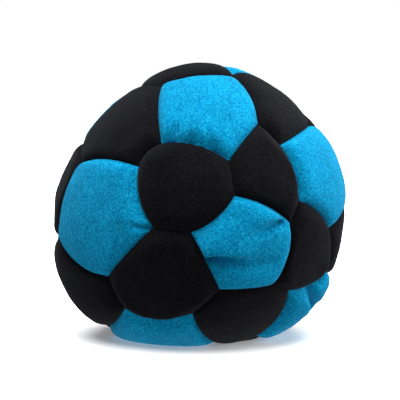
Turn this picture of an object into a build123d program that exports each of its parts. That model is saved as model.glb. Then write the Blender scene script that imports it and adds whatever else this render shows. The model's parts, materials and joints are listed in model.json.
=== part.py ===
"""A sewn juggling ball of thirty-two suede panels, a little slumped where it rests on a table.

Twelve blue pentagons and twenty black hexagons of synthetic suede are sewn edge to edge, in the pattern of a
truncated icosahedron with enlarged pentagons. Each panel is a domed wall with its seam allowance folded inward,
so that two neighbours lie face to face along every seam. A thread goes in and out through both allowances, and
loose plastic pellets fill the bag up to a slack level.

Frame: millimetres, +Z up, z = 0 on the table, the Z axis through the ball's middle. The front faces -Y. Places
on the ball are given as azimuth (0 is the front, 90 is the right, +X) and elevation above the ball's middle.
"""

import math
import os

from build123d import *

# Driving dimensions
BALL_RADIUS = 29.1  # from the ball's middle to its plain surface, before it sags
MIDDLE_HEIGHT = 26.5  # the ball's middle above the table
PENTAGON_SHARE = 0.40  # of an icosahedron's edge up to the pentagon's corner; a third would make equal sides
SUEDE = 0.9  # thickness of the suede
SEAM_DEPTH = 1.3  # the seams lie this far below the plain surface
PENTAGON_CROWN = 0.3  # a pentagon's middle stands this far above the plain surface
HEXAGON_CROWN = 0.5
ALLOWANCE = 3.2  # depth of the seam allowance that is folded inward

THREAD = 0.45  # thickness of the sewing thread
THREAD_SIDES = 4  # the thread is drawn with this many flats
STITCH_DEPTH = 1.7  # the stitch line lies this far below the fold of the seam
NEEDLE_MARGIN = 0.12  # share of a seam that has no needle hole, at each end
LONG_SEAM_HOLES = 6  # along a side of a pentagon
SHORT_SEAM_HOLES = 4  # along a side between two hexagons
CLOSING_HOLES = 6  # along the one seam that is closed last, after filling
KNOT = 0.9  # size of a knot in the thread

PELLET = 5.0  # diameter of a filling pellet
PELLET_GAP = 0.1  # between neighbouring pellets
FILL_HEIGHT = 49.0  # the pellets come up to this height above the table

# How the panels are turned: the first pentagon faces this azimuth and elevation, and the next one lies at this
# turn about it, counted from straight up towards the right.
FIRST_PENTAGON = (13.0, -14.0)
TURN = -11.0
CLOSING_SEAM = (170.0, -15.0)  # the seam nearest to here is the one that is closed last

# The filling pushes the bag out or lets it sink in: azimuth, elevation, mm outward. Degrees of reach.
SAGS = [
    (-90, -35, 4.5),
    (85, -45, 1.0),
    (-15, -35, 1.2),
    (180, -35, 1.5),
    (-90, 40, -0.5),
    (85, 50, -1.0),
    (85, -12, -0.8),
    (35, -62, -0.8),
]
SAG_REACH = 32.0

# The soft suede has shifted over the filling: azimuth, elevation, mm to the right, mm upward. Degrees of reach.
PULLS = [
    (-25, 15, 3.0, -0.5),
    (5, 30, 1.5, 0.0),
    (45, 40, -4.5, -2.5),
    (-20, -20, 3.0, 3.0),
    (50, 5, -3.5, 0.5),
    (75, -5, -3.5, 0.0),
    (60, -35, -2.5, -1.5),
    (10, -40, 0.5, 5.5),
    (-60, -10, 1.5, 1.5),
    (-20, 60, 1.0, 1.5),
]
PULL_REACH = 24.0

# Corners that the slack filling has pulled a little further: (pentagon, pentagon that the corner points at), each
# by its number in the pattern, and mm to the right and upward along the surface.
NUDGES = {
    (0, 1): (0.2, -0.5),
    (0, 2): (2.6, -0.7),
    (0, 3): (0.6, -0.7),
    (0, 4): (0.6, -1.2),
    (1, 2): (0.7, 0.4),
    (1, 5): (-0.5, -0.5),
    (1, 6): (1.5, 1.0),
    (1, 10): (-1.0, 1.0),
    (2, 6): (2.8, -0.2),
    (2, 7): (3.5, 0.0),
    (3, 0): (-1.0, 2.6),
    (3, 2): (1.5, -1.5),
    (4, 0): (-0.5, -0.3),
    (4, 5): (1.0, -0.5),
    (5, 0): (-1.1, -0.3),
    (5, 4): (0.0, -1.0),
    (5, 9): (-3.5, -2.0),
    (5, 10): (-2.5, 0.0),
    (6, 1): (0.0, 0.6),
    (6, 2): (0.0, 0.8),
    (10, 1): (-3.0, 2.2),
    (10, 5): (-4.0, 0.3),
}

MIDDLE = Vector(0, 0, 0)
UP = Vector(0, 0, 1)


# Directions


def toward(azimuth, elevation):
    """The unit vector at an azimuth and an elevation, in degrees."""
    a = math.radians(azimuth)
    e = math.radians(elevation)
    return Vector(math.sin(a) * math.cos(e), -math.cos(a) * math.cos(e), math.sin(e))


def along_surface(direction):
    """Unit vectors to the right and upward along the surface, seen from outside."""
    right = UP.cross(direction).normalized()
    return right, direction.cross(right)


def nearness(a, b, reach):
    """1 where two directions agree, falling smoothly towards 0 past the reach, in degrees."""
    return math.exp(-((a.get_angle(b) / reach) ** 2))


def pentagon_directions():
    """Where the twelve pentagons face: the first, a ring of five, a second ring, and the one opposite."""
    first = toward(*FIRST_PENTAGON)
    right, up = along_surface(first)
    lean = math.atan(2)
    fifth = math.radians(72)
    start = math.radians(TURN)

    def ring(lean, start):
        sides = [up * math.cos(start + k * fifth) + right * math.sin(start + k * fifth) for k in range(5)]
        return [first * math.cos(lean) + side * math.sin(lean) for side in sides]

    return [first, *ring(lean, start), *ring(math.pi - lean, start + fifth / 2), -first]


# The bag's outline


def bag_radius(direction):
    """How far the sagging bag's plain surface is from its middle, in a direction."""
    radius = BALL_RADIUS
    for azimuth, elevation, outward in SAGS:
        radius += outward * nearness(direction, toward(azimuth, elevation), SAG_REACH)
    return radius


def corner_point(direction, across, rise):
    """Where a corner of the even pattern, in this direction, lies on the shifted bag, at the bottom of its seams."""
    point = direction * (bag_radius(direction) - SEAM_DEPTH)
    for azimuth, elevation, pull_across, pull_rise in PULLS:
        place = toward(azimuth, elevation)
        right, up = along_surface(place)
        point += (right * pull_across + up * pull_rise) * nearness(direction, place, PULL_REACH)
    right, up = along_surface(point.normalized())
    shifted = (point + right * across + up * rise).normalized()
    return shifted * (bag_radius(shifted) - SEAM_DEPTH)


def around(items):
    """Each item with the next one, all the way round."""
    return list(zip(items, items[1:] + items[:1]))


def average(points):
    return sum(points, Vector(0, 0, 0)) / len(points)


class Panel:
    """The corners and the crown of one panel, and how far its thickness reaches in from its sides."""

    def __init__(self, corners, crown_height):
        self.corners = corners
        self.middle = average(corners)
        outward = self.middle.normalized()
        self.crown = outward * (bag_radius(outward) + crown_height)
        self.apothem = min(((a + b) / 2 - self.middle).length for a, b in around(corners))
        self.core_radius = sum(corner.length for corner in corners) / len(corners) - ALLOWANCE

    def inset(self, point, distance):
        """A point on the panel's rim, moved towards the panel's middle."""
        return point + (self.middle - point) * (distance / self.apothem)


def all_panels():
    """The twelve pentagons and the twenty hexagons."""
    facing = pentagon_directions()
    nearby = math.degrees(math.atan(2)) + 1
    neighbours = {
        i: [j for j in range(12) if j != i and facing[i].get_angle(facing[j]) < nearby] for i in range(12)
    }

    def corner(i, j):
        direction = (facing[i] + (facing[j] - facing[i]) * PENTAGON_SHARE).normalized()
        return corner_point(direction, *NUDGES.get((i, j), (0, 0)))

    def turn_about(i, j):
        right, up = along_surface(facing[i])
        return math.atan2(facing[j].dot(up), facing[j].dot(right))

    pentagons = []
    for i in range(12):
        ring = sorted(neighbours[i], key=lambda j: turn_about(i, j))
        pentagons.append(Panel([corner(i, j) for j in ring], PENTAGON_CROWN))
    hexagons = []
    for i in range(12):
        for j in neighbours[i]:
            for k in neighbours[j]:
                if i < j < k and k in neighbours[i]:
                    rim = [corner(a, b) for a, b in [(i, j), (j, i), (j, k), (k, j), (k, i), (i, k)]]
                    hexagons.append(Panel(rim, HEXAGON_CROWN))
    return pentagons, hexagons


# Suede panels


def seam_point(a, b, share):
    """A point on the seam from a to b, which bows outward with the bag."""
    chord = a + (b - a) * share
    return chord.normalized() * (a.length + (b.length - a.length) * share)


def seam_edge(a, b):
    return Edge.make_three_point_arc(a, seam_point(a, b, 0.5), b)


def wedge(corners, crown):
    """A closed wedge from the ball's middle out to a domed face with these corners and this crown."""
    seams = [seam_edge(a, b) for a, b in around(corners)]
    dome = Face.make_surface(Wire(seams), surface_points=[crown])
    sides = []
    for (a, b), seam in zip(around(corners), seams):
        sides.append(Face(Wire([Edge.make_line(MIDDLE, a), seam, Edge.make_line(b, MIDDLE)])))
    return Solid(Shell([dome, *sides]))


def above(level):
    """A block that holds everything above a level, with room for the whole ball."""
    size = 4 * BALL_RADIUS
    return Pos(0, 0, level + size / 2) * Box(size, size, size)


def suede_panel(panel):
    """A domed wall, pressed flat where it meets the table, with its allowance folded inward on every side."""
    table = -MIDDLE_HEIGHT
    outside = wedge(panel.corners, panel.crown)
    inner_corners = []
    for corner in panel.corners:
        inner = panel.inset(corner, SUEDE)
        inner_corners.append(inner * (1 - SUEDE / inner.length))
    inner_crown = panel.crown * (1 - SUEDE / panel.crown.length)
    pocket = wedge(inner_corners, inner_crown)
    if min(panel.crown.Z, *[c.Z for c in panel.corners]) < table + SUEDE:
        outside = outside & above(table)
        pocket = pocket & above(table + SUEDE)
    core = Solid.make_sphere(panel.core_radius)
    return outside - pocket - core


# Thread


def square_section(at, run, radius):
    """Corners of the thread's section, square to a run."""
    side = run.cross(UP if abs(run.Z) < 0.9 else Vector(1, 0, 0)).normalized()
    other = run.cross(side)
    turns = [2 * math.pi * k / THREAD_SIDES for k in range(THREAD_SIDES)]
    return [at + (side * math.cos(t) + other * math.sin(t)) * radius for t in turns]


def knot(at, run):
    """Sections of a bead-shaped knot that ends at a point and lies behind it along the run."""
    thin = THREAD / 2
    outline = [(-KNOT, thin), (-0.75 * KNOT, KNOT / 2), (-0.25 * KNOT, KNOT / 2)]
    return [square_section(at + run * back, run, radius) for back, radius in outline]


def sewn(points, both_knotted):
    """The thread along a path of straight runs, with mitred corners and a knot at its start or at both ends."""
    runs = [(b - a).normalized() for a, b in zip(points, points[1:])]
    ring = square_section(points[0], runs[0], THREAD / 2)
    rings = [*knot(points[0], runs[0]), ring]
    for point, run, following in zip(points[1:], runs, runs[1:] + runs[-1:]):
        across = run + following
        ring = [v + run * ((point - v).dot(across) / run.dot(across)) for v in ring]
        rings.append(ring)
    if both_knotted:
        for scale, forward in [(KNOT / THREAD, 0.25), (KNOT / THREAD, 0.75), (1, 1)]:
            end = points[-1]
            rings.append([end + (v - end) * scale + runs[-1] * (forward * KNOT) for v in ring])
    faces = [Face(Wire.make_polygon(rings[0])), Face(Wire.make_polygon(rings[-1]))]
    for near, far in zip(rings, rings[1:]):
        for (a, b), (d, c) in zip(around(near), around(far)):
            faces.append(Face(Wire.make_polygon([a, b, c, d])))
    return Solid(Shell(faces))


def stitch_line(a, b, this_panel, other_panel, holes):
    """Running stitches along the seam from a to b, starting and ending in this panel's pocket."""
    clearance = SUEDE + THREAD / 2
    lowest = -MIDDLE_HEIGHT + SUEDE + THREAD
    points = []
    panel = this_panel
    for hole in range(holes):
        share = NEEDLE_MARGIN + (1 - 2 * NEEDLE_MARGIN) * hole / (holes - 1)
        radius = seam_point(a, b, share).length - STITCH_DEPTH
        through = [panel, other_panel if panel is this_panel else this_panel]
        for owner in through:
            point = owner.inset(a + (b - a) * share, clearance).normalized() * radius
            points.append(Vector(point.X, point.Y, max(point.Z, lowest)))
        panel = through[-1]
    return points


def panel_at(a, b, panels):
    """The panel that has both corners a and b, or None."""
    near = 0.01
    for panel in panels:
        if all(any((corner - end).length < near for corner in panel.corners) for end in (a, b)):
            return panel
    return None


def pentagon_thread(pentagon, hexagons):
    """One thread all round a pentagon, in and out of the five hexagons beside it."""
    path = []
    for a, b in around(pentagon.corners):
        path += stitch_line(a, b, pentagon, panel_at(a, b, hexagons), LONG_SEAM_HOLES)
    return sewn(path, both_knotted=False)


def hexagon_seams(hexagons):
    """Each seam between two hexagons, once, as (corner, corner, hexagon, hexagon)."""
    seams = []
    for number, hexagon in enumerate(hexagons):
        for a, b in around(hexagon.corners):
            other = panel_at(a, b, hexagons[number + 1 :])
            if other:
                seams.append((a, b, hexagon, other))
    return seams


# Filling


def pellet_fits(place, panels):
    """Whether a pellet at this place is clear of the suede, its allowances and the thread."""
    radius = PELLET / 2
    if not SUEDE + PELLET_GAP + radius <= place.Z + MIDDLE_HEIGHT <= FILL_HEIGHT - radius:
        return False
    for panel in panels:
        walls = [a.cross(b).normalized() for a, b in around(panel.corners)]
        inward = [wall if wall.dot(panel.middle) > 0 else -wall for wall in walls]
        to_seams = min(place.dot(wall) for wall in inward)
        if to_seams >= 0:
            break
    if to_seams > SUEDE + THREAD + KNOT + PELLET_GAP + radius:
        roof = bag_radius(place.normalized()) - SEAM_DEPTH - SUEDE
    else:
        roof = min(panel.core_radius for panel in panels)
    return place.length + radius + PELLET_GAP < roof


def pellets(panels):
    """Close-packed layers of pellets wherever they fit in the bag."""
    pitch = PELLET + PELLET_GAP
    row = pitch * math.sqrt(3) / 2
    layer = pitch * math.sqrt(2 / 3)
    count = math.ceil(BALL_RADIUS / layer)
    placed = []
    for up in range(-count, count + 1):
        for back in range(-count, count + 1):
            for right in range(-count, count + 1):
                x = (right + (back % 2) / 2 + (up % 2) / 2) * pitch
                y = back * row + (up % 2) * row / 3
                place = Vector(x, y, up * layer)
                if pellet_fits(place, panels):
                    placed.append(Pos(*place) * Solid.make_sphere(PELLET / 2))
    return Compound(placed)


# Writing the nodes


def save(name, shape):
    """Stand the piece on the table and write it."""
    export_step(Pos(0, 0, MIDDLE_HEIGHT) * shape, f"parts/{name}.step")


def main():
    os.makedirs("parts", exist_ok=True)
    pentagons, hexagons = all_panels()
    for number, panel in enumerate(pentagons, 1):
        save(f"pentagon_panel_{number:02d}", suede_panel(panel))
        save(f"pentagon_thread_{number:02d}", pentagon_thread(panel, hexagons))
    for number, panel in enumerate(hexagons, 1):
        save(f"hexagon_panel_{number:02d}", suede_panel(panel))

    seams = hexagon_seams(hexagons)
    closing_place = toward(*CLOSING_SEAM)
    closing = min(seams, key=lambda seam: ((seam[0] + seam[1]) / 2).get_angle(closing_place))
    threads = [sewn(stitch_line(*seam, SHORT_SEAM_HOLES), True) for seam in seams if seam is not closing]
    save("hexagon_thread", Compound(threads))
    save("closing_thread", sewn(stitch_line(*closing, CLOSING_HOLES), True))
    save("filling_pellets", pellets(pentagons + hexagons))


main()
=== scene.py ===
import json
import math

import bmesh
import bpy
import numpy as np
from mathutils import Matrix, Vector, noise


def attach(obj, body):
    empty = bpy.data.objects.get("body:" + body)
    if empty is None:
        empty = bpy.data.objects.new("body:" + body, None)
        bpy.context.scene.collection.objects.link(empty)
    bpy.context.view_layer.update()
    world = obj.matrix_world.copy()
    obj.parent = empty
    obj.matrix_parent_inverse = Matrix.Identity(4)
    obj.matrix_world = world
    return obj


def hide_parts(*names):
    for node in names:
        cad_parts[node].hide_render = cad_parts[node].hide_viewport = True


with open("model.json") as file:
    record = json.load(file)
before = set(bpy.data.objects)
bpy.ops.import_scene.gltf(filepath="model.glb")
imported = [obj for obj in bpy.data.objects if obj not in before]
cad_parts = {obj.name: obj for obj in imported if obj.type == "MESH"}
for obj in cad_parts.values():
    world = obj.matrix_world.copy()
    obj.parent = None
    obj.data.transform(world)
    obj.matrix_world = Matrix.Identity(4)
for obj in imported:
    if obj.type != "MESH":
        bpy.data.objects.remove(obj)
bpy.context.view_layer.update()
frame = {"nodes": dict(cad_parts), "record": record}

# A sewn juggling ball: twelve blue pentagons and twenty black hexagons of synthetic suede, sewn edge to
# edge and loosely filled. Each panel is one padded piece that replaces its CAD panel. Lengths are
# millimetres until a mesh is made. Places on the ball are azimuth (0 is the front, 90 the right) and
# elevation, in degrees, seen from its middle. Pentagons are numbered from 0 in the pattern, and pentagon 0
# is pentagon_panel_01.

MM = 0.001

# The bag's shape, as in the CAD model but a little more uneven
BALL_RADIUS = 29.1  # from the ball's middle to its plain surface, before it sags
MIDDLE_HEIGHT = 26.5  # the ball's middle above the table
PENTAGON_SHARE = 0.40  # of an icosahedron's edge up to the pentagon's corner
SEAM_DEPTH = 1.3  # the seams lie this far below the plain surface
FIRST_PENTAGON = (13.0, -14.0)  # where pentagon 0 faces
TURN = -11.0  # where the next one lies about it, from straight up towards the right
NEIGHBOUR_COSINE = 0.4  # neighbouring pentagons face directions that agree better than this

# Where the filling pushes the bag out or lets it sink in: azimuth, elevation, mm outward, degrees of reach
SAG_REACH = 32.0
SAGS = [
    (-90, -35, 4.5, SAG_REACH),
    (85, -45, 1.0, SAG_REACH),
    (-15, -35, 1.2, SAG_REACH),
    (180, -35, 1.5, SAG_REACH),
    (-90, 40, -0.5, SAG_REACH),
    (85, 50, -1.0, SAG_REACH),
    (85, -12, -0.8, SAG_REACH),
    (35, -62, -0.8, SAG_REACH),
    # Smaller unevenness, which the CAD model leaves out
    (-95, 7, 1.1, 15),
    (-92, -42, -0.6, 14),
    (-6, 27, -1.3, 8),
    (66, -29, 1.0, 7),
    (60, -41, 1.1, 8),
    (90, -14, -0.8, 14),
    (88, 45, -0.6, 14),
    (88, 24, 0.5, 10),
    (-85, 58, -0.6, 15),
    (0, 75, 0.5, 18),
    (70, -58, 0.5, 14),
]
# Where the soft suede has shifted over the filling: azimuth, elevation, mm to the right, mm upward
PULLS = [
    (-25, 15, 3.0, -0.5),
    (5, 30, 1.5, 0.0),
    (45, 40, -4.5, -2.5),
    (-20, -20, 3.0, 3.0),
    (50, 5, -3.5, 0.5),
    (75, -5, -3.5, 0.0),
    (60, -35, -2.5, -1.5),
    (10, -40, 0.5, 5.5),
    (-60, -10, 1.5, 1.5),
    (-20, 60, 1.0, 1.5),
]
PULL_REACH = 24.0  # degrees

# How the panels puff up between their seams
SEAM_GAP = 0.03  # between two panels' faces in a seam
PENTAGON_CROWN = 0.2  # a panel's middle above the bag's plain surface
HEXAGON_CROWN = 0.3
PENTAGON_ROUNDING = 2.6  # width of the rounded edge along a seam
HEXAGON_ROUNDING = 3.6
ROUND_EDGE = 0.5  # this power of the distance from a seam gives a round edge
SLOPED_EDGE = 0.8  # and this one a flatter slope

# Corners that the slack filling has pulled elsewhere, in mm to the right and upward along the surface
NUDGES = {
    (1, 10): (-1.0, 0.6),
    (1, 6): (1.5, 0.2),
    (1, 5): (-0.5, -0.5),
    (1, 2): (1.0, 1.8),
    (5, 0): (-1.1, -0.3),
    (5, 4): (0.0, -1.0),
    (5, 9): (-3.5, -2.0),
    (5, 10): (-2.5, 0.0),
    (0, 1): (0.2, -0.5),
    (0, 2): (2.6, -0.7),
    (0, 3): (0.6, -1.0),
    (0, 4): (0.6, -2.0),
    (2, 0): (1.4, 0.0),
    (4, 3): (-1.6, 0.3),
    (4, 5): (1.0, -0.5),
    (4, 0): (-0.5, -0.3),
    (3, 0): (0.6, 2.3),
    (3, 2): (1.5, -1.5),
    (6, 1): (0.0, 0.6),
    (6, 2): (-1.0, 5.0),
    (10, 1): (-9.5, 2.2),
    (10, 5): (-6.0, 0.3),
    (9, 5): (-4.5, 0.0),
    (2, 6): (2.8, -0.2),
    (2, 7): (3.0, -2.5),
}

# How far a seam bows into its pentagon: by pentagon, and the two pentagons on either side of its hexagon
PLAIN_BOW = 0.3
BOWS = {
    (6, 1, 2): 1.0,
    (1, 0, 5): 1.1,
    (1, 5, 10): -0.3,
    (1, 6, 10): 0.4,
    (1, 2, 6): -0.7,
    (1, 0, 2): 0.0,
    (5, 1, 10): -0.8,
    (5, 0, 1): 1.1,
    (5, 0, 4): 0.1,
    (5, 4, 9): -1.2,
    (5, 9, 10): 0.0,
    (0, 1, 5): 0.9,
    (0, 1, 2): -0.9,
    (0, 2, 3): -0.9,
    (0, 3, 4): 0.0,
    (0, 4, 5): 0.2,
    (2, 0, 1): 0.4,
    (2, 0, 3): 0.7,
    (3, 0, 4): 1.2,
    (3, 0, 2): 0.7,
    (4, 0, 5): 0.8,
    (10, 1, 5): 0.0,
    (2, 3, 7): -0.3,
}
# The same for a seam between two hexagons, by the pentagons beside it, towards their lower-numbered neighbour
HEXAGON_BOWS = {(1, 5): -0.9}

# Where a full hexagon leans over its pentagon: how far its edge overhangs the seam
LEANS = {
    (4, 0, 5): 0.8,
    (0, 4, 5): 0.6,
    (5, 0, 1): 0.4,
    (2, 0, 1): 0.5,
}
LEAN_REACH = 4.0  # the lean fades this far from the seam
# Where a pentagon slopes down to a seam from further in: the width of its rounded edge there
SLOPES = {
    (4, 0, 5): 5.0,
    (0, 4, 5): 4.0,
    (5, 0, 1): 3.6,
}

# Folds in the slack pentagons: pentagon, places along the fold, its depth at the start and the end, its
# width, and how far the suede above it swells out and hangs over it
FOLDS = [
    # The long fold and the short crease at the front
    (0, [(-5, -13.9), (3, -13.2), (9, -14.4), (15, -16.0), (25, -16.4)], 3.4, 0.3, 1.4, 1.3, 2.8),
    (0, [(29, -1.2), (25, -2.2), (21, -4.0), (16, -6.0)], 1.5, 0.2, 0.9, 0.7, 0.7),
    # The pucker on the left
    (5, [(-18, -3.5), (-22, -3.2), (-28, -2.6)], 2.2, 0.4, 0.65, 0.6, 0.5),
    # The dimples along the lower edge of the top pentagon
    (1, [(-17, 29), (-15, 34), (-13, 38)], 1.7, 0.0, 1.4, 0.0, 0.0),
    (1, [(-7, 28), (-6.5, 32), (-7.5, 35)], 1.7, 0.0, 1.2, 0.0, 0.0),
    (1, [(4, 24), (3, 29), (0, 33)], 1.7, 0.0, 1.4, 0.0, 0.0),
    # The creases on the right and at the lower right
    (2, [(33, 9.6), (37, 10.2), (42, 9.6)], 1.2, 0.1, 0.8, 0.4, 0.3),
    (3, [(74, -42), (64, -37), (55, -31), (50, -27)], 3.0, 0.8, 1.1, 0.3, 0.2),
]
# The suede swells most at this height above a fold, fades over these distances below and above that, and has
# ended a little past the last one, all in widths of the fold
SWELL_HEIGHT = 1.9
SWELL_BELOW = 1.2
SWELL_ABOVE = 2.6
SWELL_END = 4

# Panel meshes
STEPS = 16  # rows from a panel's middle to its seams, before the last subdivision
CROWDING = 0.3  # how much closer together the rows get towards the seams
SUEDE = 0.9  # its thickness
DEEPEST = 2.7  # a fold goes at most this far below the plain surface, to stay clear of the threads
SMOOTHING = {"blue_suede": 2, "black_suede": 16}  # rounds, after the simulation
SETTLING = {"blue_suede": 1.0, "black_suede": 0.5}  # how much of its simulated movement a panel keeps
UNEVENNESS = [(0.10, 4.0, 1), (0.04, 1.1, 2)]  # of the suede's surface: height, size of the bumps, seed
FLANGE_TOP = 1.0  # the folded allowance starts this far below the seam
FLANGE_DEPTH = 2.6  # and ends this far below it
FLANGE_ROOT = (1.1, 1.0)  # where it meets the inner face: depth below the seam, and distance in from it
# The panel's inner face, from its allowance to its middle: its depth below the seam, and how far in from the
# seam, as a share of the way to the middle
INNER_FACE = [(0.6, 0.35), (0.2, 0.7)]
INNER_MIDDLE = 0.2  # depth of the inner face's middle
# How far each ring of the allowance and of the inner face, and last the inner middle, stays above the table
LIFTS = [0.05, 0.3, 0.3, 0.5, 0.6, 0.7, 0.8]

# The simulated bag
CLOTH_SCALE = 0.02  # metres to a mm: the bag is simulated twenty times its size, where cloth behaves well
CLOTH_FRAMES = 20
LARGEST_MOVE = 0.8  # no point moves further than this, in mm

# The filling
PELLET = 5.0

# Suede: sizes in mm
NAP = 0.42
NAP_RELIEF = 0.16
FIBRES = 0.16
FIBRE_RELIEF = 0.05
BRUSH_MARKS = 5.0

# The setting
TABLE_HALF = 2.0  # metres
TABLE_GLOW = 0.84  # how brightly the table lights the ball from below
TABLE_WHITE = 0.9  # the table that the camera sees
TABLE_LIFT = 0.2  # and the glow that lifts it to white
WORLD_SEEN = 1.0
WORLD_FELT = 0.18
CAMERA_DISTANCE = 300.0
CAMERA_ELEVATION = 5.0
PICTURE_WIDTH = 81.911  # how much the picture takes in, at the ball's middle
AIM = (-1.2, 1.35)  # the picture's middle, to the right of the ball's middle and above it
SENSOR = 36.0


def toward(azimuth, elevation):
    """The unit vector at an azimuth and an elevation, in degrees."""
    a = math.radians(azimuth)
    e = math.radians(elevation)
    return np.array([math.sin(a) * math.cos(e), -math.cos(a) * math.cos(e), math.sin(e)])


def unit(v):
    """Vectors of the same directions, one long."""
    return v / np.linalg.norm(v, axis=-1, keepdims=True)


def along_surface(direction):
    """Unit vectors to the right and upward along the surface, seen from outside."""
    right = unit(np.cross([0.0, 0.0, 1.0], direction))
    return right, np.cross(direction, right)


def nearness(directions, place, reach):
    """1 where directions agree with a place, falling smoothly towards 0 past the reach, in degrees."""
    angle = np.degrees(np.arccos(np.clip(directions @ place, -1, 1)))
    return np.exp(-((angle / reach) ** 2))


def bag_radius(directions):
    """The plain surface's distance from the middle, in these directions."""
    radius = np.full(len(directions), BALL_RADIUS)
    for azimuth, elevation, outward, reach in SAGS:
        radius += outward * nearness(directions, toward(azimuth, elevation), reach)
    return radius


def pulled(points):
    """Moves points along the surface with the slack suede."""
    moved = points.copy()
    for azimuth, elevation, across, rise in PULLS:
        place = toward(azimuth, elevation)
        right, up = along_surface(place)
        moved += nearness(unit(points), place, PULL_REACH)[:, None] * (right * across + up * rise)
    return moved


def pentagon_directions():
    """Where the twelve pentagons face: the first, a ring of five, a second ring, and the one opposite."""
    first = toward(*FIRST_PENTAGON)
    right, up = along_surface(first)
    lean = math.atan(2)
    fifth = math.radians(72)
    start = math.radians(TURN)

    def ring(lean, start):
        turns = [start + k * fifth for k in range(5)]
        sides = [up * math.cos(t) + right * math.sin(t) for t in turns]
        return [first * math.cos(lean) + side * math.sin(lean) for side in sides]

    return np.array([first, *ring(lean, start), *ring(math.pi - lean, start + fifth / 2), -first])


PENTAGONS = pentagon_directions()
NEXT_TO = [
    [j for j in range(12) if j != i and PENTAGONS[i] @ PENTAGONS[j] > NEIGHBOUR_COSINE] for i in range(12)
]


def corner_direction(i, j):
    """Towards the corner of pentagon i that points at pentagon j."""
    return unit(PENTAGONS[i] + (PENTAGONS[j] - PENTAGONS[i]) * PENTAGON_SHARE)


def corner(i, j):
    """That corner, at the bottom of its seams."""
    direction = corner_direction(i, j)[None]
    point = pulled(direction * (bag_radius(direction) - SEAM_DEPTH))[0]
    across, rise = NUDGES.get((i, j), (0.0, 0.0))
    right, up = along_surface(unit(point))
    moved = unit(point + right * across + up * rise)[None]
    return moved[0] * (bag_radius(moved)[0] - SEAM_DEPTH)


CORNERS = {(i, j): corner(i, j) for i in range(12) for j in NEXT_TO[i]}


class Seam:
    """The line between two corners, with its panels' faces standing upright along it.

    It bows sideways, towards its normal. Above the seam the faces may lean the same way.
    """

    def __init__(self, key, start, end, towards, bow, lean=0.0):
        self.key = key
        self.a = CORNERS[start]
        self.b = CORNERS[end]
        normal = unit(np.cross(self.a, self.b))
        self.normal = normal if normal @ towards > 0 else -normal
        self.bow = bow
        self.lean = lean

    def at(self, share):
        """Points at these shares of the way from a to b."""
        share = np.asarray(share, float)[:, None]
        length = np.linalg.norm(self.a) * (1 - share) + np.linalg.norm(self.b) * share
        chord = unit(self.a + (self.b - self.a) * share) * length
        return chord + self.normal * (self.bow * 4 * share * (1 - share))

    def share_beside(self, points):
        """The share along the seam that each point stands beside."""
        level = unit(points) * np.linalg.norm((self.a + self.b) / 2)
        run = self.b - self.a
        return np.clip((level - self.a) @ run / (run @ run), 0, 1)

    def beside(self, points):
        """How far points stand from the seam's upright wall, towards its normal."""
        share = self.share_beside(points)
        return points @ self.normal - self.bow * 4 * share * (1 - share)

    def leaned(self, points):
        """Moves what stands above the seam sideways, the same for the panels on both sides."""
        if self.lean == 0:
            return points
        share = self.share_beside(points)
        height = np.linalg.norm(points, axis=1) - np.linalg.norm(self.at(share), axis=1)
        rise = np.clip(height / SEAM_DEPTH, 0, 1)
        rise = rise * rise * (3 - 2 * rise)
        near = np.exp(-((self.beside(points) / LEAN_REACH) ** 2))
        near *= np.clip(4 * share * (1 - share), 0, 1)
        return points + self.normal * (self.lean * rise * near)[:, None]


def pentagon_seam(i, j, k):
    """The seam of pentagon i with the hexagon between pentagons i, j and k."""
    key = (i, min(j, k), max(j, k))
    bow = BOWS.get(key, PLAIN_BOW)
    return Seam(key, key[:2], (key[0], key[2]), PENTAGONS[i], bow, LEANS.get(key, 0.0))


def hexagon_seam(i, j):
    """The seam between the two hexagons that lie beside pentagons i and j."""
    low, high = min(i, j), max(i, j)
    others = [k for k in NEXT_TO[low] if k in NEXT_TO[high]]
    key = (low, high)
    return Seam(key, key, (high, low), PENTAGONS[others[0]], HEXAGON_BOWS.get(key, 0.0))


class Panel:
    """One panel: its name, its corners in order, and the seam along each side."""

    def __init__(self, name, corners, seams, crown, rounding, slot):
        self.name = name
        self.corners = corners
        self.seams = seams
        self.crown = crown
        self.rounding = rounding
        self.slot = slot
        self.middle = unit(sum(CORNERS[c] for c in corners))


def pentagon_name(i):
    return f"pentagon_panel_{i + 1:02d}"


def all_panels():
    """The twelve pentagons and then the twenty hexagons."""
    panels = []
    for i in range(12):
        right, up = along_surface(PENTAGONS[i])
        ring = sorted(NEXT_TO[i], key=lambda j: math.atan2(PENTAGONS[j] @ up, PENTAGONS[j] @ right))
        pairs = list(zip(ring, ring[1:] + ring[:1]))
        seams = [pentagon_seam(i, j, k) for j, k in pairs]
        corners = [(i, j) for j in ring]
        panels.append(
            Panel(pentagon_name(i), corners, seams, PENTAGON_CROWN, PENTAGON_ROUNDING, "blue_suede")
        )
    number = 0
    for i in range(12):
        for j in NEXT_TO[i]:
            for k in NEXT_TO[j]:
                if i < j < k and k in NEXT_TO[i]:
                    number += 1
                    corners = [(i, j), (j, i), (j, k), (k, j), (k, i), (i, k)]
                    seams = [
                        hexagon_seam(i, j),
                        pentagon_seam(j, i, k),
                        hexagon_seam(j, k),
                        pentagon_seam(k, i, j),
                        hexagon_seam(k, i),
                        pentagon_seam(i, j, k),
                    ]
                    name = f"hexagon_panel_{number:02d}"
                    panels.append(
                        Panel(name, corners, seams, HEXAGON_CROWN, HEXAGON_ROUNDING, "black_suede")
                    )
    return panels


# Panel surfaces


def side_points(panel, side, shares):
    """Points along one side of a panel, in the order of its corners."""
    seam = panel.seams[side]
    forward = np.allclose(seam.a, CORNERS[panel.corners[side]])
    return seam.at(shares if forward else 1 - np.asarray(shares))


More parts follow.
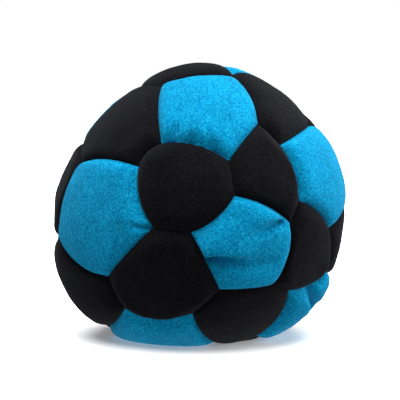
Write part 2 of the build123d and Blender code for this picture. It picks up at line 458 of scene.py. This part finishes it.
def grid(panel):
    """Triangles over a panel, in rows round its middle that get closer towards the seams.

    Returns each point's direction, how far out it is, the seam point beyond it, the faces and the rim.
    """
    sides = len(panel.corners)
    rows = [[0]]
    rim_mean = np.mean([side_points(panel, side, [0.5])[0] for side in range(sides)], axis=0)
    beyond = [rim_mean]
    shares_out = [0.0]
    for step in range(1, STEPS + 1):
        share = step / STEPS
        out = share * (1 + CROWDING - CROWDING * share)
        row = []
        for side in range(sides):
            for point in side_points(panel, side, np.arange(step) / step):
                row.append(len(beyond))
                beyond.append(point)
                shares_out.append(out)
        rows.append(row)
    faces = []
    for step in range(1, STEPS + 1):
        outer, inner = rows[step], rows[step - 1]
        for side in range(sides):
            for k in range(step):
                a = outer[side * step + k]
                b = outer[(side * step + k + 1) % len(outer)]
                c = inner[(side * (step - 1) + k) % len(inner)]
                faces.append((a, b, c))
                if k < step - 1:
                    d = inner[(side * (step - 1) + k + 1) % len(inner)]
                    faces.append((b, d, c))
    beyond = np.array(beyond)
    out = np.array(shares_out)
    directions = unit(panel.middle * (1 - out[:, None]) + unit(beyond) * out[:, None])
    return directions, out, beyond, np.array(faces), rows[STEPS]


def puffed(panel):
    """The panel's surface before any filling presses on it."""
    directions, out, beyond, faces, rim = grid(panel)
    radius = bag_radius(directions)
    rim_radius = np.linalg.norm(beyond, axis=1)
    off_plain = rim_radius - (bag_radius(unit(beyond)) - SEAM_DEPTH)
    points = directions * radius[:, None]
    fullness = np.ones(len(points))
    for seam in panel.seams:
        if panel.slot == "blue_suede" and seam.key in SLOPES:
            width = SLOPES[seam.key]
            edge = SLOPED_EDGE
        else:
            width = panel.rounding
            edge = ROUND_EDGE
        inward = np.clip(np.abs(seam.beside(points)) / width, 0, 1)
        fullness *= (1 - (1 - inward) ** 2) ** edge
    radius += off_plain * out**2 - SEAM_DEPTH * (1 - fullness) + panel.crown * (1 - out**2) * fullness
    points = directions * radius[:, None]
    points[rim] = beyond[rim]
    return points, faces, rim


def keep_apart(panel, points, rim):
    """Moves points that have crossed into a neighbour back to their own side of each seam."""
    moved = points.copy()
    for seam in panel.seams:
        sign = 1.0 if seam.normal @ panel.middle > 0 else -1.0
        short = SEAM_GAP - sign * seam.beside(moved)
        moved += np.where(short > 0, short * sign, 0.0)[:, None] * seam.normal
    moved[rim] = points[rim]
    return moved


def folded(panel, points):
    """Presses the panel's folds into it."""
    for pentagon, places, start, end, width, swell, overhang in FOLDS:
        if panel.name != pentagon_name(pentagon):
            continue
        line = np.array([toward(*place) for place in places]) * BALL_RADIUS
        level = unit(points) * BALL_RADIUS
        nearest = np.full(len(points), np.inf)
        depth = np.zeros(len(points))
        above = np.zeros(len(points))
        for k, (a, b) in enumerate(zip(line, line[1:])):
            run = b - a
            share = np.clip((level - a) @ run / (run @ run), 0, 1)
            off = level - (a + run * share[:, None])
            length = np.linalg.norm(off, axis=1)
            closer = length < nearest
            along = (k + share) / (len(line) - 1)
            nearest = np.where(closer, length, nearest)
            depth = np.where(closer, start + (end - start) * along, depth)
            above = np.where(closer, off[:, 2] / width, above)
        dip = depth * np.exp(-((nearest / width) ** 2))
        near = np.exp(-((np.maximum(nearest - SWELL_END * width, 0) / width) ** 2))
        reach = np.where(above > SWELL_HEIGHT, SWELL_ABOVE, SWELL_BELOW)
        share = depth / start * near * np.exp(-(((above - SWELL_HEIGHT) / reach) ** 2))
        rise = swell * share
        lowered = points - along_surface(unit(points))[1] * (overhang * share)[:, None]
        room = DEEPEST - (bag_radius(unit(points)) - np.linalg.norm(points, axis=1))
        points = lowered + unit(points) * (rise - np.minimum(dip, np.maximum(room, 0)))[:, None]
    return points


def press_on_table(points, lift=0.0):
    """Keeps points above the table, by at least this lift."""
    points[:, 2] = np.maximum(points[:, 2], lift - MIDDLE_HEIGHT)
    return points


def subdivided(points, faces, rim):
    """Each triangle in four, with the rim's new points between its old ones."""
    edges = np.sort(np.concatenate([faces[:, [0, 1]], faces[:, [1, 2]], faces[:, [2, 0]]]), axis=1)
    unique, where = np.unique(edges, axis=0, return_inverse=True)
    where = where.reshape(-1)
    count = len(faces)
    middles = len(points) + where
    ab, bc, ca = middles[:count], middles[count : 2 * count], middles[2 * count :]
    a, b, c = faces.T
    quarters = [(a, ab, ca), (ab, b, bc), (ca, bc, c), (ab, bc, ca)]
    fine = np.concatenate([np.stack(quarter, 1) for quarter in quarters])
    mean = (points[unique[:, 0]] + points[unique[:, 1]]) / 2
    number = {tuple(pair): len(points) + k for k, pair in enumerate(unique)}
    loop = []
    for start, end in zip(rim, rim[1:] + rim[:1]):
        loop += [start, number[tuple(sorted((start, end)))]]
    return np.concatenate([points, mean]), fine, loop


def smoothed(points, faces, fixed, rounds, strength=0.5):
    """Moves each free point towards the mean of its neighbours."""
    edges = np.unique(
        np.sort(np.concatenate([faces[:, [0, 1]], faces[:, [1, 2]], faces[:, [2, 0]]]), axis=1), axis=0
    )
    degree = np.bincount(edges.ravel(), minlength=len(points))[:, None]
    free = np.ones(len(points), bool)
    free[fixed] = False
    for _ in range(rounds):
        total = np.zeros_like(points)
        np.add.at(total, edges[:, 0], points[edges[:, 1]])
        np.add.at(total, edges[:, 1], points[edges[:, 0]])
        points = np.where(free[:, None], points + strength * (total / degree - points), points)
    return points


def noise_at(points, size, seed):
    """Smooth noise between about -1 and 1, with bumps of this size in mm."""
    shift = Vector((seed * 13.7, seed * 7.3, seed * 3.1))
    return np.array([noise.noise(Vector(p) / size + shift) for p in points])


# Cloth


def filled(surfaces):
    """Sews the panels into one bag and lets the filling press it out. Returns each panel's new points."""
    stacked = np.concatenate([points for points, _, _ in surfaces])
    key = np.round(stacked, 4)
    _, first, index = np.unique(key, axis=0, return_index=True, return_inverse=True)
    index = index.reshape(-1)
    offsets = np.cumsum([0] + [len(points) for points, _, _ in surfaces])
    faces = np.concatenate([index[f + o] for (_, f, _), o in zip(surfaces, offsets)])
    rims = [index[np.array(rim) + o] for (_, _, rim), o in zip(surfaces, offsets)]
    sewn = np.unique(np.concatenate(rims))
    mesh = bpy.data.meshes.new("bag")
    mesh.from_pydata((stacked[first] * CLOTH_SCALE).tolist(), [], faces.tolist())
    bag = bpy.data.objects.new("bag", mesh)
    bpy.context.scene.collection.objects.link(bag)
    pins = bag.vertex_groups.new(name="seams")
    pins.add([int(v) for v in sewn], 1.0, "REPLACE")
    cloth = bag.modifiers.new("cloth", "CLOTH").settings
    cloth.vertex_group_mass = "seams"
    cloth.quality = 6
    cloth.mass = 0.3
    cloth.tension_stiffness = 30
    cloth.compression_stiffness = 30
    cloth.shear_stiffness = 15
    cloth.bending_stiffness = 6
    cloth.use_pressure = True
    cloth.uniform_pressure_force = 3.5
    cloth.shrink_min = -0.006
    cloth.effector_weights.gravity = 0.0
    for number in range(1, CLOTH_FRAMES + 1):
        bpy.context.scene.frame_set(number)
    dg = bpy.context.evaluated_depsgraph_get()
    done = bag.evaluated_get(dg).to_mesh()
    moved = np.zeros(len(done.vertices) * 3, np.float32)
    done.vertices.foreach_get("co", moved)
    moved = moved.reshape(-1, 3).astype(float) / CLOTH_SCALE
    bpy.data.objects.remove(bag)
    bpy.context.scene.frame_set(1)
    start = stacked[first]
    step = moved - start
    length = np.maximum(np.linalg.norm(step, axis=1, keepdims=True), 1e-9)
    moved = start + step * (LARGEST_MOVE * np.tanh(length / LARGEST_MOVE) / length)
    back = moved[index]
    return [back[o : o + len(points)] for (points, _, _), o in zip(surfaces, offsets)]


# Materials


class Nodes:
    """A material's node tree, with short ways to add what suede needs."""

    def __init__(self, name):
        self.material = bpy.data.materials.new(name)
        self.material.use_nodes = True
        self.tree = self.material.node_tree
        self.tree.nodes.clear()
        self.shader = self.tree.nodes.new("ShaderNodeBsdfPrincipled")
        output = self.tree.nodes.new("ShaderNodeOutputMaterial")
        self.link(self.shader.outputs["BSDF"], output.inputs["Surface"])
        self.place = self.tree.nodes.new("ShaderNodeTexCoord").outputs["Object"]

    def link(self, source, target):
        self.tree.links.new(source, target)

    def noise(self, size, detail=2.0, roughness=0.5, distortion=0.0):
        """A noise pattern with grains of this size, in mm."""
        node = self.tree.nodes.new("ShaderNodeTexNoise")
        node.inputs["Scale"].default_value = 1 / (size * MM)
        node.inputs["Detail"].default_value = detail
        node.inputs["Roughness"].default_value = roughness
        node.inputs["Distortion"].default_value = distortion
        self.link(self.place, node.inputs["Vector"])
        return node.outputs["Fac"]

    def ramp(self, source, stops):
        """Colours or greys along a pattern's value: (place, colour)."""
        node = self.tree.nodes.new("ShaderNodeValToRGB")
        for _ in stops[2:]:
            node.color_ramp.elements.new(0.5)
        for element, (at, colour) in zip(node.color_ramp.elements, stops):
            element.position = at
            element.color = (*colour, 1.0)
        self.link(source, node.inputs["Fac"])
        return node.outputs["Color"]

    def mix(self, kind, share, first, second):
        """Two colours blended in this way."""
        node = self.tree.nodes.new("ShaderNodeMix")
        node.data_type = "RGBA"
        node.blend_type = kind
        node.inputs["Factor"].default_value = share
        self.link(first, node.inputs["A"])
        self.link(second, node.inputs["B"])
        return node.outputs["Result"]

    def bump(self, height, distance, strength, below=None):
        """Relief of this depth in mm, on top of another relief."""
        node = self.tree.nodes.new("ShaderNodeBump")
        node.inputs["Distance"].default_value = distance * MM
        node.inputs["Strength"].default_value = strength
        self.link(height, node.inputs["Height"])
        if below is not None:
            self.link(below, node.inputs["Normal"])
        return node.outputs["Normal"]

    def set(self, **values):
        """Sets the shader's inputs by name."""
        for name, value in values.items():
            self.shader.inputs[name.replace("_", " ")].default_value = value


def grey(value):
    return (value, value, value)


def suede(name, dark, middle, light, sheen, sheen_tint, mottle):
    """Synthetic suede: short nap that lies a little differently from place to place."""
    made = Nodes(name)
    nap = made.noise(NAP, detail=3.0, roughness=0.7)
    colour = made.ramp(nap, [(0.32, dark), (0.5, middle), (0.68, light)])
    brushed = made.noise(BRUSH_MARKS, detail=3.0, roughness=0.55, distortion=0.6)
    shade = made.ramp(brushed, [(0.3, grey(1 - mottle)), (0.7, grey(1.0))])
    made.link(made.mix("MULTIPLY", 1.0, colour, shade), made.shader.inputs["Base Color"])
    fibres = made.noise(FIBRES, detail=2.0, roughness=0.7)
    soft = made.bump(nap, NAP_RELIEF, strength=0.6)
    rough = made.bump(fibres, FIBRE_RELIEF, strength=0.5, below=soft)
    made.link(rough, made.shader.inputs["Normal"])
    made.set(Roughness=1.0, Specular_IOR_Level=0.03)
    made.set(Sheen_Weight=sheen, Sheen_Roughness=0.5, Sheen_Tint=sheen_tint)
    return made.material


def twisted_thread():
    """Black polyester thread, with the light and dark of its twist."""
    made = Nodes("sewing_thread")
    strands = made.noise(0.25, detail=2.0)
    colour = made.ramp(strands, [(0.35, grey(0.008)), (0.65, grey(0.03))])
    made.link(colour, made.shader.inputs["Base Color"])
    made.link(made.bump(strands, distance=0.05, strength=0.6), made.shader.inputs["Normal"])
    made.set(Roughness=0.6)
    return made.material


def milky_plastic():
    """Polyethylene pellets, a little cloudy."""
    made = Nodes("plastic_pellets")
    cloud = made.noise(2.5, detail=3.0)
    colour = made.ramp(cloud, [(0.3, (0.70, 0.70, 0.66)), (0.7, (0.86, 0.86, 0.83))])
    made.link(colour, made.shader.inputs["Base Color"])
    made.link(made.bump(cloud, distance=0.05, strength=0.3), made.shader.inputs["Normal"])
    made.set(Roughness=0.35)
    return made.material


# Pieces


def mesh_object(name, points, faces, material):
    """A smooth-shaded object from points in mm about the ball's middle."""
    mesh = bpy.data.meshes.new(name)
    placed = (points + [0, 0, MIDDLE_HEIGHT]) * MM
    mesh.from_pydata(placed.tolist(), [], faces)
    mesh.materials.append(material)
    mesh.polygons.foreach_set("use_smooth", [True] * len(mesh.polygons))
    made = bpy.data.objects.new(name, mesh)
    bpy.context.scene.collection.objects.link(made)
    return made


def closed_panel(panel, points, faces, rim):
    """Adds the folded allowance and the inner face, so that the panel is a closed piece of suede."""
    top = points[rim]
    apothem = np.linalg.norm(top - panel.middle * np.linalg.norm(top, axis=1)[:, None], axis=1).min()
    centre = panel.middle * np.linalg.norm(top, axis=1).mean()

    def ring(depth, inward):
        length = np.linalg.norm(top, axis=1)[:, None]
        moved = top + (centre - top) * (inward / apothem)
        return unit(moved) * (length - depth)

    rings = [
        ring(FLANGE_TOP, SEAM_GAP),
        ring(FLANGE_DEPTH, SEAM_GAP),
        ring(FLANGE_DEPTH, SUEDE),
        ring(*FLANGE_ROOT),
    ]
    rings += [ring(depth, apothem * share) for depth, share in INNER_FACE]
    rings = [press_on_table(r, lift) for r, lift in zip(rings, LIFTS)]
    inner_middle = centre[None] * (1 - INNER_MIDDLE / np.linalg.norm(centre))
    inner_middle = press_on_table(inner_middle, LIFTS[-1])[0]
    made = np.concatenate([points, *rings, inner_middle[None]])
    loops = [list(rim)]
    count = len(points)
    for _ in rings:
        loops.append(list(range(count, count + len(rim))))
        count += len(rim)
    all_faces = [tuple(int(v) for v in f) for f in faces]
    size = len(rim)
    for upper, lower in zip(loops, loops[1:]):
        for k in range(size):
            n = (k + 1) % size
            all_faces.append((upper[n], upper[k], lower[k], lower[n]))
    last = loops[-1]
    for k in range(size):
        all_faces.append((last[(k + 1) % size], last[k], count))
    return made, all_faces


def finished(panel, points, faces, rim):
    """Refines a panel, presses its folds in, and gives suede its uneven surface."""
    points, faces, rim = subdivided(points, faces, list(rim))
    halves = np.arange(2 * STEPS) / (2 * STEPS)
    sides = range(len(panel.corners))
    points[rim] = np.concatenate([side_points(panel, side, halves) for side in sides])
    points = smoothed(points, faces, rim, SMOOTHING[panel.slot])
    uneven = sum(height * noise_at(points, size, seed) for height, size, seed in UNEVENNESS)
    uneven[rim] = 0
    points = points + unit(points) * uneven[:, None]
    seam_line = points[rim].copy()
    points = folded(panel, points)
    points[rim] = seam_line
    points = keep_apart(panel, points, rim)
    for seam in panel.seams:
        points = seam.leaned(points)
    return press_on_table(points), faces, rim


def build_panels(materials):
    """Shapes the thirty-two panels together and makes a piece of each."""
    panels = all_panels()
    surfaces = [puffed(panel) for panel in panels]
    shaped = filled(surfaces)
    for panel, moved, (start, faces, rim) in zip(panels, shaped, surfaces):
        settled = start + (moved - start) * SETTLING[panel.slot]
        points, faces, rim = finished(panel, settled, faces, rim)
        points, faces = closed_panel(panel, points, faces, rim)
        piece = mesh_object(f"{panel.name}_suede", points, faces, materials[panel.slot])
        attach(piece, "root")
        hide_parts(panel.name)


def pellet_middles(node):
    """The middle of each pellet in the CAD node, in metres."""
    mesh = node.data
    places = np.zeros(len(mesh.vertices) * 3, np.float32)
    mesh.vertices.foreach_get("co", places)
    places = places.reshape(-1, 3).astype(float)
    ends = np.zeros(len(mesh.edges) * 2, np.int32)
    mesh.edges.foreach_get("vertices", ends)
    a, b = ends.reshape(-1, 2).T
    label = np.arange(len(places))
    while True:
        lowest = np.minimum(label[a], label[b])
        spread = label.copy()
        np.minimum.at(spread, a, lowest)
        np.minimum.at(spread, b, lowest)
        spread = spread[spread]
        if (spread == label).all():
            break
        label = spread
    pellets = [places[label == one] for one in np.unique(label)]
    return np.array([(pellet.min(axis=0) + pellet.max(axis=0)) / 2 for pellet in pellets])


def build_pellets(material):
    """The loose filling, one round pellet at each of the CAD model's."""
    node = frame["nodes"]["filling_pellets"]
    shape = bmesh.new()
    bmesh.ops.create_icosphere(shape, subdivisions=2, radius=PELLET / 2 * MM)
    shape.verts.ensure_lookup_table()
    ball = np.array([v.co for v in shape.verts])
    ball_faces = np.array([[v.index for v in f.verts] for f in shape.faces])
    shape.free()
    middles = pellet_middles(node)
    points = (middles[:, None] + ball[None]).reshape(-1, 3)
    faces = (ball_faces[None] + np.arange(len(middles))[:, None, None] * len(ball)).reshape(-1, 3)
    about_middle = points / MM - [0, 0, MIDDLE_HEIGHT]
    piece = mesh_object("filling_pellets_round", about_middle, faces.tolist(), material)
    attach(piece, "root")
    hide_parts("filling_pellets")


# The setting


def lit_by_ray(tree, seen, felt, output):
    """Gives a backdrop one shader that the camera sees and another that lights the ball."""
    ray = tree.nodes.new("ShaderNodeLightPath")
    mixed = tree.nodes.new("ShaderNodeMixShader")
    tree.links.new(ray.outputs["Is Camera Ray"], mixed.inputs["Fac"])
    tree.links.new(felt, mixed.inputs[1])
    tree.links.new(seen, mixed.inputs[2])
    tree.links.new(mixed.outputs["Shader"], output)


def white_table():
    """A plain pale floor, far larger than the ball."""
    mesh = bpy.data.meshes.new("table")
    outline = [(-1, -1), (1, -1), (1, 1), (-1, 1)]
    mesh.from_pydata([(x * TABLE_HALF, y * TABLE_HALF, 0) for x, y in outline], [], [(0, 1, 2, 3)])
    material = bpy.data.materials.new("white_table")
    material.use_nodes = True
    tree = material.node_tree
    tree.nodes.clear()
    felt = tree.nodes.new("ShaderNodeEmission")
    felt.inputs["Strength"].default_value = TABLE_GLOW
    seen = tree.nodes.new("ShaderNodeBsdfPrincipled")
    seen.inputs["Base Color"].default_value = (*grey(TABLE_WHITE), 1)
    seen.inputs["Roughness"].default_value = 1.0
    seen.inputs["Emission Color"].default_value = (1, 1, 1, 1)
    seen.inputs["Emission Strength"].default_value = TABLE_LIFT
    output = tree.nodes.new("ShaderNodeOutputMaterial")
    lit_by_ray(tree, seen.outputs["BSDF"], felt.outputs["Emission"], output.inputs["Surface"])
    mesh.materials.append(material)
    table = bpy.data.objects.new("table", mesh)
    bpy.context.scene.collection.objects.link(table)


def broad_light(name, direction, spread, strength):
    """A distant light that comes from this direction, spread over this many degrees."""
    light = bpy.data.lights.new(name, "SUN")
    light.energy = strength
    light.angle = math.radians(spread)
    made = bpy.data.objects.new(name, light)
    made.rotation_euler = Vector(direction).to_track_quat("Z", "Y").to_euler()
    bpy.context.scene.collection.objects.link(made)


def studio():
    """White all round, a very broad light from above, and a weaker one from the right."""
    world = bpy.data.worlds.new("studio")
    world.use_nodes = True
    tree = world.node_tree
    seen = tree.nodes["Background"]
    felt = tree.nodes.new("ShaderNodeBackground")
    for backdrop, strength in [(seen, WORLD_SEEN), (felt, WORLD_FELT)]:
        backdrop.inputs["Color"].default_value = (1, 1, 1, 1)
        backdrop.inputs["Strength"].default_value = strength
    output = tree.nodes["World Output"].inputs["Surface"]
    lit_by_ray(tree, seen.outputs["Background"], felt.outputs["Background"], output)
    bpy.context.scene.world = world
    bpy.context.scene.view_settings.view_transform = "Standard"
    broad_light("overhead", (0.0, -0.06, 0.97), spread=75, strength=8.2)
    broad_light("from_the_right", (0.98, 0.10, 0.06), spread=50, strength=4.8)
    white_table()


def camera():
    """Looks at the ball a little from above, at its distance and with its framing."""
    elevation = math.radians(CAMERA_ELEVATION)
    data = bpy.data.cameras.new("camera")
    data.sensor_width = SENSOR
    data.lens = SENSOR * CAMERA_DISTANCE / PICTURE_WIDTH
    data.clip_start = 0.01
    made = bpy.data.objects.new("camera", data)
    back = Vector((0, -math.cos(elevation), math.sin(elevation)))
    up = Vector((0, math.sin(elevation), math.cos(elevation)))
    across, rise = AIM
    aim = Vector((across, 0, MIDDLE_HEIGHT)) + up * rise
    made.location = (aim + back * CAMERA_DISTANCE) * MM
    made.rotation_euler = (-back).to_track_quat("-Z", "Y").to_euler()
    bpy.context.scene.collection.objects.link(made)
    bpy.context.scene.camera = made


def main():
    camera()
    studio()
    materials = {
        "blue_suede": suede(
            "blue_suede",
            dark=(0.0001, 0.112, 0.250),
            middle=(0.0005, 0.205, 0.400),
            light=(0.010, 0.330, 0.540),
            sheen=0.04,
            sheen_tint=(0.4, 0.8, 1, 1),
            mottle=0.2,
        ),
        "black_suede": suede(
            "black_suede",
            dark=grey(0.0022),
            middle=(0.0038, 0.0038, 0.005),
            light=(0.0078, 0.0078, 0.0095),
            sheen=0.03,
            sheen_tint=(0.8, 0.85, 1, 1),
            mottle=0.3,
        ),
        "sewing_thread": twisted_thread(),
        "plastic_pellets": milky_plastic(),
    }
    build_panels(materials)
    build_pellets(materials["plastic_pellets"])
    slots = {entry["node"]: entry["material_slot"] for entry in frame["record"]["subparts"]}
    for node, piece in frame["nodes"].items():
        piece.data.materials.clear()
        piece.data.materials.append(materials[slots[node]])


main()
